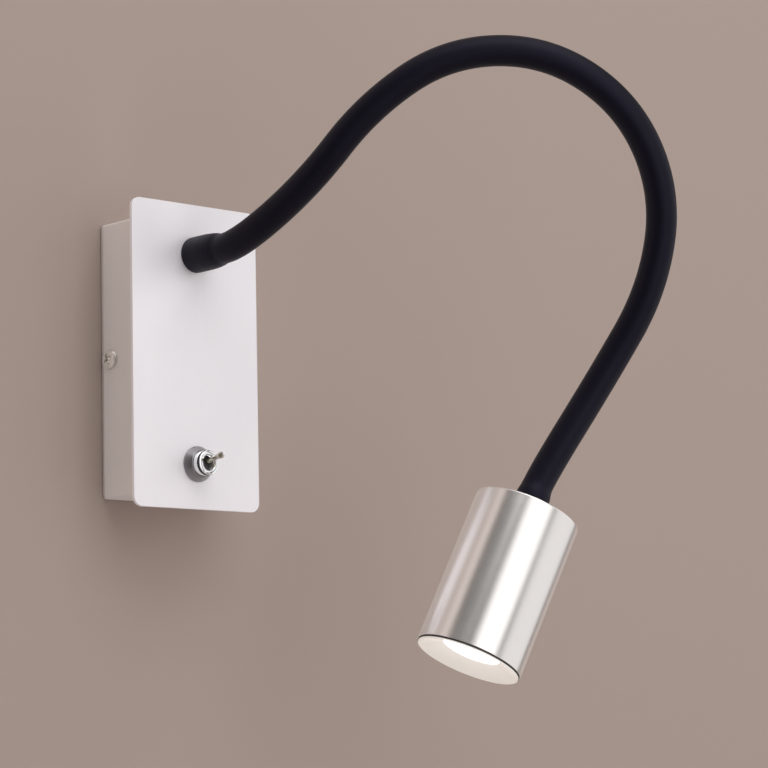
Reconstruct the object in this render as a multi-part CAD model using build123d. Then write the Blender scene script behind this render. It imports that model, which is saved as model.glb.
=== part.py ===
"""A bedside wall reading lamp: a sheet-metal wall box, a toggle switch, a flexible arm and a spot head.

Lengths are in millimetres. The wall is the plane Y = 0, the lamp stands out of it along -Y and +Z is up.
The origin is the middle of the wall bracket's back face. The wall unit is drawn in (across, up, out of
the wall), and the head in its own frame, whose Z runs from the head's top face to its mouth.
"""
from build123d import *
import math
import os

# ---- Driving sizes ----------------------------------------------------------------------------------

# Wall box: a folded steel tray, open at the wall, and the satin plate clamped on its front.
BOX_WIDTH = 50.0
BOX_HEIGHT = 108.5
BOX_DEPTH = 26.5
BOX_WALL = 1.0
BOX_EDGE = 1.5
PLATE_WIDTH = 62.0
PLATE_HEIGHT = 120.0
PLATE_THICKNESS = 1.5
PLATE_CORNER = 4.0
PLATE_EDGE = 0.2
PLATE_RISE = 0.75  # the plate's middle lies this far above the box's middle
ARM_BELOW_TOP = 13.5  # arm axis below the box's top
SWITCH_ABOVE_FOOT = 12.55  # switch axis above the box's foot

# Wall bracket: a vertical strap and a cross strap whose ears take the side screws.
BRACKET_SHEET = 1.5
STRAP_WIDTH = 26.0
STRAP_HEIGHT = 92.0
STRAP_CORNER = 3.0
EAR_HEIGHT = 16.0
EAR_DEPTH = 10.0
SLOT_SPACING = 60.0
SLOT_WIDTH = 4.5
SLOT_LENGTH = 10.0
ENTRY_HOLE = 16.0  # snap bushing for the supply cable
BUSHING_BORE = 9.0
BUSHING_FLANGE = 20.0
BUSHING_FLANGE_THICKNESS = 1.5
EARTH_BELOW = 14.0  # earth screw below the bracket's middle

# Pan-head machine screws of the wall unit.
SCREW_DIAMETER = 4.0
SCREW_HEAD = 8.0
SCREW_HEAD_HEIGHT = 1.5
SCREW_LENGTH = 7.0
SCREW_OUT = 5.5  # side screws' distance from the wall
SCREW_TURN = 25.0  # how far the cross recess has come to rest off upright, degrees
EARTH_SCREW_HEAD = 7.0
# Shares of a pan head: its rounding and recess depth of its height, its cross of its diameter.
PAN_ROUNDING = 0.7
RECESS_DEPTH = 0.6
RECESS_SPAN = 0.56
RECESS_SLOT = 0.13

# Threaded ferrules at the two ends of the arm, and what clamps them.
STUD_DIAMETER = 10.0
STUD_LENGTH = 9.0
STUD_BORE = 4.6
BARREL_DIAMETER = 11.5
SOCKET_DEPTH = 7.0  # how far the spine is held in a barrel
NUT_ACROSS_FLATS = 14.0
NUT_HEIGHT = 4.0
NUT_CHAMFER = 0.6
WASHER_DIAMETER = 16.0
WASHER_THICKNESS = 0.8

# Flexible arm: sleeve over a metal hose over the lead.
SLEEVE_DIAMETER = 11.7
SLEEVE_WALL = 1.35
SPINE_WALL = 1.9
LEAD_DIAMETER = 4.2
BASE_COLLAR = 15.0  # the sleeve's end that is stretched over the barrel at the plate
BASE_COLLAR_DIAMETER = 14.2
TIP_COLLAR = 11.0
TIP_COLLAR_DIAMETER = 13.3
COLLAR_TAPER = 3.0
CORNER_FILL = 0.97  # share of each half run that its bend takes up

# The arm's middle line from the plate's face to the head's top face, chosen by hand in (X, Y, Z) from
# the point where it leaves the plate. Each corner is rounded as far as its two runs allow.
ARM_ROUTE = [
    (0, 0, 0),
    (0, -27, 0),
    (7, -59.5, 20),
    (17, -83, 47),
    (37, -107.5, 66),
    (66.5, -130.5, 66.5),
    (94.5, -145.5, 46.5),
    (112, -147.5, 14),
    (114, -137, -21),
    (104.3, -119, -52.5),
    (85.2, -102.7, -91.8),
    (78.85, -101, -105.3),
]
# The arm flexes at the middle of every other run, so each stretch between two such points is stiff.
FLEX_RUNS = range(1, len(ARM_ROUTE) - 2, 2)
STRETCHES = ("base", "rise", "crown", "fall", "drop", "tip")

# Spot head.
HEAD_DIAMETER = 41.0
HEAD_LENGTH = 63.0
HEAD_WALL = 1.5
HEAD_CAP = 3.0
HEAD_EDGE = 0.8
RIM_HEIGHT = 0.6
RIM_INSET = 0.3  # how far the insert's rim stands inside the shell's outside
RIM_LIP = 0.9
SPIGOT_HEIGHT = 9.0
THROAT_DIAMETER = 22.5
THROAT_DEPTH = 4.2
LENS_DIAMETER = 25.0
LENS_THICKNESS = 2.0
LENS_LEDGE = 0.8
SPACER_HEIGHT = 5.0
BOARD_DIAMETER = 22.4
BOARD_THICKNESS = 1.6
CHIP_DIAMETER = 9.0
CHIP_HEIGHT = 0.8
HEATSINK_HEIGHT = 16.0
HEATSINK_GROOVE = 1.6
HEATSINK_GROOVES = 4
BOARD_SCREW = 2.5
BOARD_SCREW_HEAD = 4.5
BOARD_SCREW_HEAD_HEIGHT = 1.5
BOARD_SCREW_LENGTH = 6.0  # depth of the tapped hole
BOARD_SCREW_REACH = 8.0
CORE_REACH = 9.0  # where the two cores pass the heatsink and the board
CORE_DIAMETER = 1.5
CORE_SPREAD = 1.0
LEAD_TAIL = 1.5  # jacket of the lead beyond a stud

# Toggle switch.
NECK_DIAMETER = 10.0
NECK_PROUD = 7.4  # beyond the plate's face
NECK_CHAMFER = 0.5
DRESS_NUT_BASE = 14.0
DRESS_NUT_NOSE = 10.6
DRESS_NUT_HEIGHT = 3.4
DRESS_NUT_LAND = 0.7
SWITCH_WIDTH = 13.0
SWITCH_HEIGHT = 18.5
SWITCH_DEPTH = 13.0
SWITCH_EDGE = 0.8
LOCK_WASHER_DIAMETER = 14.5
LOCK_WASHER_THICKNESS = 0.8
BLADE_WIDTH = 4.8
BLADE_THICKNESS = 0.8
BLADE_LENGTH = 6.5
BLADE_PITCH = 10.0
BLADE_EYE = 1.6
LEVER_BALL = 5.0
LEVER_PIVOT_DEPTH = 4.4  # pivot behind the neck's front face
LEVER_LENGTH = 13.6
LEVER_ROOT = 2.0
LEVER_TIP = 2.6
LEVER_TAIL = 1.8
LEVER_TAIL_LENGTH = 3.2
LEVER_NOTCH = 0.8
LEVER_ROUNDING = 0.5
LEVER_TILT = 11.0  # above the switch's axis when on, degrees
MOUTH_DIAMETER = 5.8
LIP_DIAMETER = 4.2

# Things inside the wall box.
PAD_THICKNESS = 1.0
PAD_MARGIN = 2.0
DRIVER_WIDTH = 24.0
DRIVER_DEPTH = 15.0
DRIVER_EDGE = 1.5
DRIVER_BELOW_ARM = 10.25  # the driver's top below the arm's axis
DRIVER_OVER_BLOCK = 5.5
BLOCK_OVER_SWITCH = 10.45
BLOCK_LENGTH = 15.0
BLOCK_PITCH = 9.0
BLOCK_BARREL = 8.4
BLOCK_WEB = 5.0
INSERT_DIAMETER = 5.0
INSERT_BORE = 2.8
INSERT_LENGTH = 13.0
CLAMP_SCREW = 2.6
CLAMP_SCREW_LENGTH = 3.4
CLAMP_SCREW_SPREAD = 7.0
WIRE_DIAMETER = 1.8
WIRE_HOLD = 4.5  # how far a wire goes into the terminal block
WIRE_PLANE = 8.0  # how far from the wall the wires cross the box
WIRE_ENTRY = 4.0  # wires enter the driver this far from its back
WIRE_RISE = 7.0  # a straight rise into the driver
EARTH_OVER_SWITCH = 1.5  # how close the earth wire's loop comes to the switch
OUTPUT_ENTRY = 3.0  # the lamp's cores enter the driver this far from its back
LUG_RING = 7.6
LUG_THICKNESS = 0.8
LUG_BARREL = 3.2
LUG_BARREL_LENGTH = 5.0
LUG_REACH = 5.6  # eye centre to the end of the tongue

# Clearances, each on the radius or per side.
THREAD_GAP = 0.05
HOLE_GAP = 0.1
BRACKET_GAP = 0.3
HOSE_GAP = 0.05
FLEX_GAP = 0.3
BALL_GAP = 0.08
SEAT_GAP = 0.05
WIRE_GAP = 0.2
SCREW_END_GAP = 0.5

# ---- Sizes that follow ------------------------------------------------------------------------------

CENTRE = Align.CENTER
LOW = Align.MIN
HIGH = Align.MAX
FROM_BASE = (CENTRE, CENTRE, LOW)
FROM_TOP = (CENTRE, CENTRE, HIGH)
WALL_UNIT = Plane(origin=(0, 0, 0), x_dir=(1, 0, 0), z_dir=(0, -1, 0))

PANEL_INSIDE = BOX_DEPTH - BOX_WALL
PLATE_FACE = BOX_DEPTH + PLATE_THICKNESS
ARM_UP = BOX_HEIGHT / 2 - ARM_BELOW_TOP
SWITCH_UP = SWITCH_ABOVE_FOOT - BOX_HEIGHT / 2
SWITCH_TOP = SWITCH_UP + SWITCH_HEIGHT / 2
STUD_HOLE = STUD_DIAMETER + 2 * HOLE_GAP
EAR_FACE = BOX_WIDTH / 2 - BOX_WALL - BRACKET_GAP

SLEEVE_BORE = SLEEVE_DIAMETER - 2 * SLEEVE_WALL
SPINE_DIAMETER = SLEEVE_BORE - 2 * HOSE_GAP
SPINE_BORE = SPINE_DIAMETER - 2 * SPINE_WALL
COLLAR_BORE = BARREL_DIAMETER + 2 * HOSE_GAP
BALL_RADIUS = SLEEVE_DIAMETER / 2

ARM_ROOT = Vector(0, -PLATE_FACE, ARM_UP)
ROUTE = [ARM_ROOT + Vector(*point) for point in ARM_ROUTE]
HEAD_TOP = ROUTE[-1]
HEAD_AXIS = (ROUTE[-1] - ROUTE[-2]).normalized()
HEAD = Plane(origin=HEAD_TOP, x_dir=HEAD_AXIS.cross(Vector(0, 1, 0)), z_dir=HEAD_AXIS)

HEAD_INNER = HEAD_DIAMETER / 2 - HEAD_WALL
LENS_FACE = HEAD_LENGTH - THROAT_DEPTH - LENS_LEDGE
LENS_BACK = LENS_FACE - LENS_THICKNESS
HEATSINK_FACE = LENS_BACK - SPACER_HEIGHT
HEATSINK_BACK = HEATSINK_FACE - HEATSINK_HEIGHT
BOARD_FACE = HEATSINK_FACE + BOARD_THICKNESS

NECK_FACE = PLATE_FACE + NECK_PROUD
SWITCH_FRONT = PANEL_INSIDE - LOCK_WASHER_THICKNESS
SWITCH_BACK = SWITCH_FRONT - SWITCH_DEPTH
LEVER_PIVOT = NECK_FACE - LEVER_PIVOT_DEPTH

PAD_FACE = PANEL_INSIDE - PAD_THICKNESS
DRIVER_BACK = PAD_FACE - DRIVER_DEPTH
POLE_OUT = PAD_FACE - BLOCK_BARREL / 2
POLES = [-BLOCK_PITCH, 0, BLOCK_PITCH]
BLOCK_FOOT = SWITCH_TOP + BLOCK_OVER_SWITCH
BLOCK_TOP = BLOCK_FOOT + BLOCK_LENGTH
BLOCK_UP = (BLOCK_FOOT + BLOCK_TOP) / 2
DRIVER_FOOT = BLOCK_TOP + DRIVER_OVER_BLOCK
DRIVER_TOP = ARM_UP - DRIVER_BELOW_ARM
DRIVER_LENGTH = DRIVER_TOP - DRIVER_FOOT
DRIVER_UP = (DRIVER_FOOT + DRIVER_TOP) / 2


# ---- Shapes that many pieces share ------------------------------------------------------------------


def top_circle(solid):
    """The round edge at the top of a turned solid."""
    return solid.edges().filter_by(GeomType.CIRCLE).sort_by(Axis.Z)[-1]


def ring(outer, bore, height):
    """A flat ring or plain tube standing on its local XY plane."""
    return Cylinder(outer / 2, height, align=FROM_BASE) - Cylinder(bore / 2, height, align=FROM_BASE)


def turned(*profile):
    """A piece turned about its local Z axis from (radius, height) corners."""
    outline = Polyline(*[(radius, 0, height) for radius, height in profile], close=True)
    return revolve(make_face(outline), Axis.Z)


def hex_nut():
    """A chamfered hexagon nut standing on its local XY plane."""
    prism = extrude(RegularPolygon(NUT_ACROSS_FLATS / 2, 6, major_radius=False), NUT_HEIGHT)
    corner = NUT_ACROSS_FLATS / math.sqrt(3)
    blank = Cylinder(corner, NUT_HEIGHT, align=FROM_BASE)
    blank = chamfer(blank.edges().filter_by(GeomType.CIRCLE), NUT_CHAMFER)
    return (prism & blank) - Cylinder(STUD_DIAMETER / 2 + THREAD_GAP, NUT_HEIGHT, align=FROM_BASE)


def pan_screw(diameter, head, head_height, length, turn=0.0):
    """A cross-recessed pan-head screw: head above its local XY plane, shank below."""
    dome = Cylinder(head / 2, head_height, align=FROM_BASE)
    dome = fillet(top_circle(dome), head_height * PAN_ROUNDING)
    shank = Cylinder(diameter / 2, length, align=FROM_TOP)
    slot = Box(head * RECESS_SPAN, head * RECESS_SLOT, head_height * RECESS_DEPTH, align=FROM_TOP)
    recess = Pos(0, 0, head_height) * (slot + Rot(0, 0, 90) * slot)
    return dome + shank - Rot(0, 0, turn) * recess


def ferrule(barrel_length):
    """The threaded end of the arm: stud below the local XY plane, barrel with the spine's socket above."""
    socket = SPINE_DIAMETER / 2 + THREAD_GAP
    bore = STUD_BORE / 2
    return turned(
        (bore, -STUD_LENGTH),
        (STUD_DIAMETER / 2, -STUD_LENGTH),
        (STUD_DIAMETER / 2, 0),
        (BARREL_DIAMETER / 2, 0),
        (BARREL_DIAMETER / 2, barrel_length),
        (socket, barrel_length),
        (socket, barrel_length - SOCKET_DEPTH),
        (bore, barrel_length - SOCKET_DEPTH),
    )


def bend_radii(points, straight_start=0.0, straight_end=0.0):
    """The largest radius of each inner corner, with the given lengths kept straight at the ends."""
    runs = [after - before for before, after in zip(points, points[1:])]
    reach = [run.length / 2 for run in runs]
    reach[0] = runs[0].length - straight_start
    reach[-1] = runs[-1].length - straight_end
    radii = []
    for i in range(len(runs) - 1):
        turn = math.radians(runs[i].get_angle(runs[i + 1]))
        radii.append(CORNER_FILL * min(reach[i], reach[i + 1]) / math.tan(turn / 2))
    return radii


def wire(diameter, *corners, straight_start=0.0, straight_end=0.0):
    """An insulated wire through (across, up, out) corners of the wall unit, or of the head's frame."""
    points = [Vector(*corner) for corner in corners]
    if len(points) == 2:
        path = Line(*points)
    else:
        path = FilletPolyline(*points, radius=bend_radii(points, straight_start, straight_end))
    return sweep(Plane(origin=path @ 0, z_dir=path % 0) * Circle(diameter / 2), path=path)


# ---- Wall unit --------------------------------------------------------------------------------------


def side_screw_places():
    """Frames of the two side screws: Z points away from the box's side."""
    for side in (-1, 1):
        yield Plane(origin=(side * BOX_WIDTH / 2, 0, SCREW_OUT), x_dir=(0, 0, 1), z_dir=(side, 0, 0))


def wall_bracket():
    strap = extrude(RectangleRounded(STRAP_WIDTH, STRAP_HEIGHT, STRAP_CORNER), BRACKET_SHEET)
    cross = Box(2 * EAR_FACE, EAR_HEIGHT, BRACKET_SHEET, align=FROM_BASE)
    bracket = strap + cross
    for side in (-1, 1):
        ear = Box(BRACKET_SHEET, EAR_HEIGHT, EAR_DEPTH, align=(HIGH, CENTRE, LOW))
        ear = fillet(ear.edges().filter_by(Axis.X).sort_by(Axis.Z)[-2:], STRAP_CORNER)
        bracket += Pos(side * EAR_FACE, 0, 0) * (ear if side > 0 else mirror(ear, about=Plane.YZ))
    for place in side_screw_places():
        bracket -= place * Cylinder(SCREW_DIAMETER / 2 + THREAD_GAP, BOX_WIDTH / 2)
    for up in (-SLOT_SPACING / 2, SLOT_SPACING / 2):
        slot = extrude(Rot(0, 0, 90) * SlotOverall(SLOT_LENGTH, SLOT_WIDTH), BRACKET_SHEET)
        bracket -= Pos(0, up, 0) * slot
    bracket -= Cylinder(ENTRY_HOLE / 2, BRACKET_SHEET, align=FROM_BASE)
    earth = Cylinder(SCREW_DIAMETER / 2 + THREAD_GAP, BRACKET_SHEET, align=FROM_BASE)
    return bracket - Pos(0, -EARTH_BELOW, 0) * earth


def entry_bushing():
    flange_top = BRACKET_SHEET + BUSHING_FLANGE_THICKNESS
    return turned(
        (BUSHING_BORE / 2, 0),
        (ENTRY_HOLE / 2 - SEAT_GAP, 0),
        (ENTRY_HOLE / 2 - SEAT_GAP, BRACKET_SHEET),
        (BUSHING_FLANGE / 2, BRACKET_SHEET),
        (BUSHING_FLANGE / 2, flange_top),
        (BUSHING_BORE / 2, flange_top),
    )


def earth_lug():
    """A ring lug under the earth screw, with its crimp barrel pointing down."""
    eye = ring(LUG_RING, SCREW_DIAMETER + 2 * HOLE_GAP, LUG_THICKNESS)
    tongue = Box(LUG_BARREL, LUG_REACH, LUG_THICKNESS, align=(CENTRE, HIGH, LOW))
    eye_hole = Cylinder(SCREW_DIAMETER / 2 + HOLE_GAP, LUG_THICKNESS, align=FROM_BASE)
    barrel = Rot(90, 0, 0) * Cylinder(LUG_BARREL / 2, LUG_BARREL_LENGTH, align=FROM_BASE)
    bore = Rot(90, 0, 0) * Cylinder(WIRE_DIAMETER / 2, LUG_BARREL_LENGTH, align=FROM_BASE)
    crimp = Pos(0, -LUG_REACH + LUG_BARREL / 2, LUG_BARREL / 2)
    lug = eye + (tongue - eye_hole) + crimp * barrel - crimp * bore
    return Pos(0, -EARTH_BELOW, BRACKET_SHEET) * lug


def earth_screw():
    length = BRACKET_SHEET + LUG_THICKNESS
    screw = pan_screw(SCREW_DIAMETER, EARTH_SCREW_HEAD, SCREW_HEAD_HEIGHT, length)
    return Pos(0, -EARTH_BELOW, length) * screw


def panel_holes(depth):
    """The arm's and the switch's holes through a sheet that stands on the local XY plane."""
    arm = Pos(0, ARM_UP, 0) * Cylinder(STUD_HOLE / 2, depth, align=FROM_BASE)
    neck = Cylinder(NECK_DIAMETER / 2 + HOLE_GAP, depth, align=FROM_BASE)
    return arm + Pos(0, SWITCH_UP, 0) * neck


def box_shell():
    outer = Box(BOX_WIDTH, BOX_HEIGHT, BOX_DEPTH, align=FROM_BASE)
    outer = fillet(outer.edges() - outer.faces().sort_by(Axis.Z)[0].edges(), BOX_EDGE)
    inner = Box(BOX_WIDTH - 2 * BOX_WALL, BOX_HEIGHT - 2 * BOX_WALL, PANEL_INSIDE, align=FROM_BASE)
    inner = fillet(inner.edges() - inner.faces().sort_by(Axis.Z)[0].edges(), BOX_EDGE - BOX_WALL)
    shell = outer - inner - Pos(0, 0, PANEL_INSIDE) * panel_holes(BOX_WALL)
    for place in side_screw_places():
        shell -= place * Cylinder(SCREW_DIAMETER / 2 + HOLE_GAP, 2 * BOX_EDGE)
    return shell


def front_plate():
    plate = extrude(RectangleRounded(PLATE_WIDTH, PLATE_HEIGHT, PLATE_CORNER), PLATE_THICKNESS)
    plate = chamfer(plate.faces().sort_by(Axis.Z)[-1].edges(), PLATE_EDGE)
    return Pos(0, 0, BOX_DEPTH) * (Pos(0, PLATE_RISE, 0) * plate - panel_holes(PLATE_THICKNESS))


def side_screws():
    screw = pan_screw(SCREW_DIAMETER, SCREW_HEAD, SCREW_HEAD_HEIGHT, SCREW_LENGTH, SCREW_TURN)
    return [place * screw for place in side_screw_places()]


# ---- Switch -----------------------------------------------------------------------------------------

SWITCH = Pos(0, SWITCH_UP, 0)


def switch_body():
    body = Box(SWITCH_WIDTH, SWITCH_HEIGHT, SWITCH_DEPTH, align=FROM_BASE)
    body = fillet(body.edges().filter_by(Axis.Z), SWITCH_EDGE)
    return SWITCH * Pos(0, 0, SWITCH_BACK) * body


def switch_blades():
    """Two solder blades on the back of the switch."""
    blades = []
    for up in (-BLADE_PITCH / 2, BLADE_PITCH / 2):
        blade = Box(BLADE_WIDTH, BLADE_THICKNESS, BLADE_LENGTH, align=FROM_TOP)
        eye = Rot(90, 0, 0) * Cylinder(BLADE_EYE / 2, BLADE_THICKNESS)
        blades.append(SWITCH * Pos(0, up, SWITCH_BACK) * (blade - Pos(0, 0, BLADE_EYE - BLADE_LENGTH) * eye))
    return blades


def switch_neck():
    """The chromed neck: a ball seat behind a flared mouth."""
    pivot = LEVER_PIVOT - SWITCH_FRONT
    length = NECK_FACE - SWITCH_FRONT
    seat = LEVER_BALL / 2 + BALL_GAP
    lip_height = pivot + math.sqrt(seat**2 - (LIP_DIAMETER / 2) ** 2)
    neck = Cylinder(NECK_DIAMETER / 2, length, align=FROM_BASE)
    neck = chamfer(top_circle(neck), NECK_CHAMFER)
    neck -= Cylinder(seat, pivot, align=FROM_BASE) + Pos(0, 0, pivot) * Sphere(seat)
    flare = Cone(LIP_DIAMETER / 2, MOUTH_DIAMETER / 2, length - lip_height, align=FROM_BASE)
    return SWITCH * Pos(0, 0, SWITCH_FRONT) * (neck - Pos(0, 0, lip_height) * flare)


def lock_washer():
    washer = ring(LOCK_WASHER_DIAMETER, NECK_DIAMETER + 2 * HOLE_GAP, LOCK_WASHER_THICKNESS)
    return SWITCH * Pos(0, 0, SWITCH_FRONT) * washer


def dress_nut():
    """The coned nut that shows on the plate."""
    bore = NECK_DIAMETER / 2 + THREAD_GAP
    nut = turned(
        (bore, 0),
        (DRESS_NUT_BASE / 2, 0),
        (DRESS_NUT_BASE / 2, DRESS_NUT_LAND),
        (DRESS_NUT_NOSE / 2, DRESS_NUT_HEIGHT),
        (bore, DRESS_NUT_HEIGHT),
    )
    return SWITCH * Pos(0, 0, PLATE_FACE) * nut


def switch_lever():
    """Ball, tapered lever with a notched tip, and the tail that works the contacts."""
    rod = Cone(LEVER_ROOT / 2, LEVER_TIP / 2, LEVER_LENGTH, align=FROM_BASE)
    rod = fillet(top_circle(rod), LEVER_ROUNDING)
    notch = Box(LEVER_TIP, LEVER_NOTCH, LEVER_NOTCH, align=FROM_TOP)
    tail = Cylinder(LEVER_TAIL / 2, LEVER_TAIL_LENGTH, align=FROM_TOP)
    lever = rod - Pos(0, 0, LEVER_LENGTH) * notch + Sphere(LEVER_BALL / 2) + tail
    return SWITCH * Pos(0, 0, LEVER_PIVOT) * Rot(-LEVER_TILT, 0, 0) * lever


# ---- Inside the wall box ----------------------------------------------------------------------------


def led_driver():
    body = Box(DRIVER_WIDTH, DRIVER_LENGTH, DRIVER_DEPTH, align=FROM_BASE)
    body = fillet(body.edges().filter_by(Axis.Z), DRIVER_EDGE)
    body = chamfer(body.faces().sort_by(Axis.Z)[0].edges(), DRIVER_EDGE / 2)
    return Pos(0, DRIVER_UP, DRIVER_BACK) * body


def foam_pad(width, height, up):
    return Pos(0, up, PAD_FACE) * Box(width, height, PAD_THICKNESS, align=FROM_BASE)


def pole(diameter, length):
    """A rod along the terminal block's wire direction, centred on one pole."""
    return Rot(90, 0, 0) * Cylinder(diameter / 2, length)


def clamp_screw_places():
    for across in POLES:
        for up in (-CLAMP_SCREW_SPREAD / 2, CLAMP_SCREW_SPREAD / 2):
            yield Pos(across, BLOCK_UP + up, POLE_OUT - WIRE_DIAMETER / 2)


def terminal_block():
    """Three moulded barrels joined by a web, with a screw well over each end of each pole."""
    span = 2 * BLOCK_PITCH
    block = Pos(0, BLOCK_UP, POLE_OUT) * Box(span, BLOCK_LENGTH, BLOCK_WEB)
    for across in POLES:
        block += Pos(across, BLOCK_UP, POLE_OUT) * pole(BLOCK_BARREL, BLOCK_LENGTH)
    for across in POLES:
        block -= Pos(across, BLOCK_UP, POLE_OUT) * pole(INSERT_DIAMETER + 2 * SEAT_GAP, BLOCK_LENGTH)
    well = Cylinder(CLAMP_SCREW / 2 + HOLE_GAP, BLOCK_BARREL, align=FROM_TOP)
    for place in clamp_screw_places():
        block -= place * well
    return block


def terminal_inserts():
    """A brass tube in each pole, cross-drilled for its two clamp screws."""
    drill = Cylinder(CLAMP_SCREW / 2 + THREAD_GAP, INSERT_DIAMETER, align=FROM_TOP)
    inserts = []
    for across in POLES:
        tube = pole(INSERT_DIAMETER, INSERT_LENGTH) - pole(INSERT_BORE, INSERT_LENGTH)
        tube = Pos(across, BLOCK_UP, POLE_OUT) * tube
        for place in clamp_screw_places():
            tube -= place * drill
        inserts.append(tube)
    return inserts


def terminal_screws():
    screw = Cylinder(CLAMP_SCREW / 2, CLAMP_SCREW_LENGTH, align=FROM_TOP)
    slot = Box(CLAMP_SCREW, CLAMP_SCREW / 4, CLAMP_SCREW / 4, align=FROM_BASE)
    screw -= Pos(0, 0, -CLAMP_SCREW_LENGTH) * slot
    return [place * screw for place in clamp_screw_places()]


def line_wire():
    """From the block's first pole, past the switch, to its lower blade."""
    across = POLES[0]
    blade_up = SWITCH_UP - BLADE_PITCH / 2
    return wire(
        WIRE_DIAMETER,
        (across, BLOCK_FOOT + WIRE_HOLD, POLE_OUT),
        (across, SWITCH_UP, POLE_OUT),
        (across, blade_up, WIRE_PLANE),
        (-BLADE_WIDTH / 2, blade_up, WIRE_PLANE),
        straight_start=WIRE_HOLD,
    )


def switched_wire():
    """From the switch's upper blade, behind the terminal block, into the driver."""
    across = POLES[2]
    blade_up = SWITCH_UP + BLADE_PITCH / 2
    entry = DRIVER_BACK + WIRE_ENTRY
    return wire(
        WIRE_DIAMETER,
        (BLADE_WIDTH / 2, blade_up, WIRE_PLANE),
        (across, blade_up, WIRE_PLANE),
        (across, DRIVER_FOOT - 2 * WIRE_RISE, WIRE_PLANE),
        (across, DRIVER_FOOT - WIRE_RISE, entry),
        (across, DRIVER_FOOT, entry),
    )


def neutral_wire():
    """Straight from the block's last pole into the driver."""
    across = POLES[2]
    return wire(WIRE_DIAMETER, (across, BLOCK_TOP - WIRE_HOLD, POLE_OUT), (across, DRIVER_FOOT, POLE_OUT))


def earth_wire():
    """From the block's middle pole, in a loop over the switch, up to the bracket's lug."""
    lug_out = BRACKET_SHEET + LUG_BARREL / 2
    crimp_top = -EARTH_BELOW - LUG_REACH + LUG_BARREL / 2
    loop_up = SWITCH_TOP + EARTH_OVER_SWITCH
    return wire(
        WIRE_DIAMETER,
        (0, BLOCK_FOOT + WIRE_HOLD, POLE_OUT),
        (0, loop_up, POLE_OUT),
        (0, loop_up, lug_out),
        (0, crimp_top, lug_out),
        straight_start=WIRE_HOLD,
        straight_end=LUG_BARREL_LENGTH,
    )


def output_wires():
    """The lead's two cores, from its end behind the arm's stud down to the driver."""
    entry = DRIVER_BACK + OUTPUT_ENTRY
    return [
        wire(
            CORE_DIAMETER,
            (side * CORE_SPREAD, ARM_UP, PLATE_FACE - STUD_LENGTH - LEAD_TAIL),
            (side * CORE_SPREAD, ARM_UP, entry),
            (side * CORE_SPREAD, DRIVER_TOP, entry),
        )
        for side in (-1, 1)
    ]


# ---- Flexible arm -----------------------------------------------------------------------------------

ROUTE_RADII = bend_radii(ROUTE, BASE_COLLAR, TIP_COLLAR)
FLEX_POINTS = [(ROUTE[run] + ROUTE[run + 1]) / 2 for run in FLEX_RUNS]


def stretch_ends(index):
    """The first and last points of a stiff stretch of the arm."""
    starts = [ROUTE[0]] + FLEX_POINTS
    ends = FLEX_POINTS + [ROUTE[-1]]
    return starts[index], ends[index]


def stretch_corners(index):
    """The numbers of the route's corners that lie in a stretch."""
    first = FLEX_RUNS[index - 1] + 1 if index else 1
    last = FLEX_RUNS[index] if index < len(FLEX_RUNS) else len(ROUTE) - 2
    return range(first, last + 1)


def arm_tube(index, outer, bore, skip_start=0.0, skip_end=0.0, tail_start=0.0, tail_end=0.0):
    """One coaxial layer of a stretch.

    Where the arm flexes, the layer ends in a ball about the flexing point, and the next one starts in a
    cup round that ball. At the arm's two ends a layer can stop short or run on.
    """
    start, end = stretch_ends(index)
    corners = stretch_corners(index)
    start_way = (ROUTE[corners[0]] - start).normalized()
    end_way = (end - ROUTE[corners[-1]]).normalized()
    points = [start + start_way * (skip_start - tail_start)]
    points += [ROUTE[corner] for corner in corners]
    points += [end - end_way * (skip_end - tail_end)]
    path = FilletPolyline(*points, radius=[ROUTE_RADII[corner - 1] for corner in corners])
    section = Circle(outer / 2)
    if bore:
        section -= Circle(bore / 2)
    tube = sweep(Plane(origin=path @ 0, z_dir=path % 0) * section, path=path)
    if index < len(FLEX_POINTS):
        nose = extrude(Plane(origin=end, z_dir=end_way) * section, BALL_RADIUS)
        tube += nose & (Pos(end) * Sphere(BALL_RADIUS))
    if index:
        tube -= Pos(start) * Sphere(BALL_RADIUS + FLEX_GAP)
    return tube


def collar(length, diameter):
    """The sleeve's end over a barrel: it stands on its local XY plane and tapers down to the arm."""
    return turned(
        (COLLAR_BORE / 2, 0),
        (diameter / 2, 0),
        (diameter / 2, length - COLLAR_TAPER),
        (SLEEVE_DIAMETER / 2, length),
        (SLEEVE_BORE / 2, length),
        (COLLAR_BORE / 2, length - COLLAR_TAPER / 2),
    )


def arm_end(index):
    """The frame of the arm's end on the plate or on the head: Z points into the arm."""
    if index:
        return Plane(origin=HEAD_TOP, x_dir=HEAD.x_dir, z_dir=-HEAD_AXIS)
    return Plane(origin=ARM_ROOT, x_dir=(1, 0, 0), z_dir=(0, -1, 0))


def end_lengths(index):
    """How much of each end of a stretch is collar."""
    return (BASE_COLLAR if index == 0 else 0.0), (TIP_COLLAR if index == len(FLEX_RUNS) else 0.0)


def barrel_length(collar_length):
    return collar_length - COLLAR_TAPER


def sleeve(index):
    base, tip = end_lengths(index)
    tube = arm_tube(index, SLEEVE_DIAMETER, SLEEVE_BORE, skip_start=base, skip_end=tip)
    if base:
        tube += arm_end(index) * collar(base, BASE_COLLAR_DIAMETER)
    if tip:
        tube += arm_end(index) * collar(tip, TIP_COLLAR_DIAMETER)
    return tube


def spine(index):
    """The interlocked metal hose that holds the arm's shape."""
    base, tip = (barrel_length(length) - SOCKET_DEPTH if length else 0.0 for length in end_lengths(index))
    return arm_tube(index, SPINE_DIAMETER, SPINE_BORE, skip_start=base, skip_end=tip)


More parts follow.
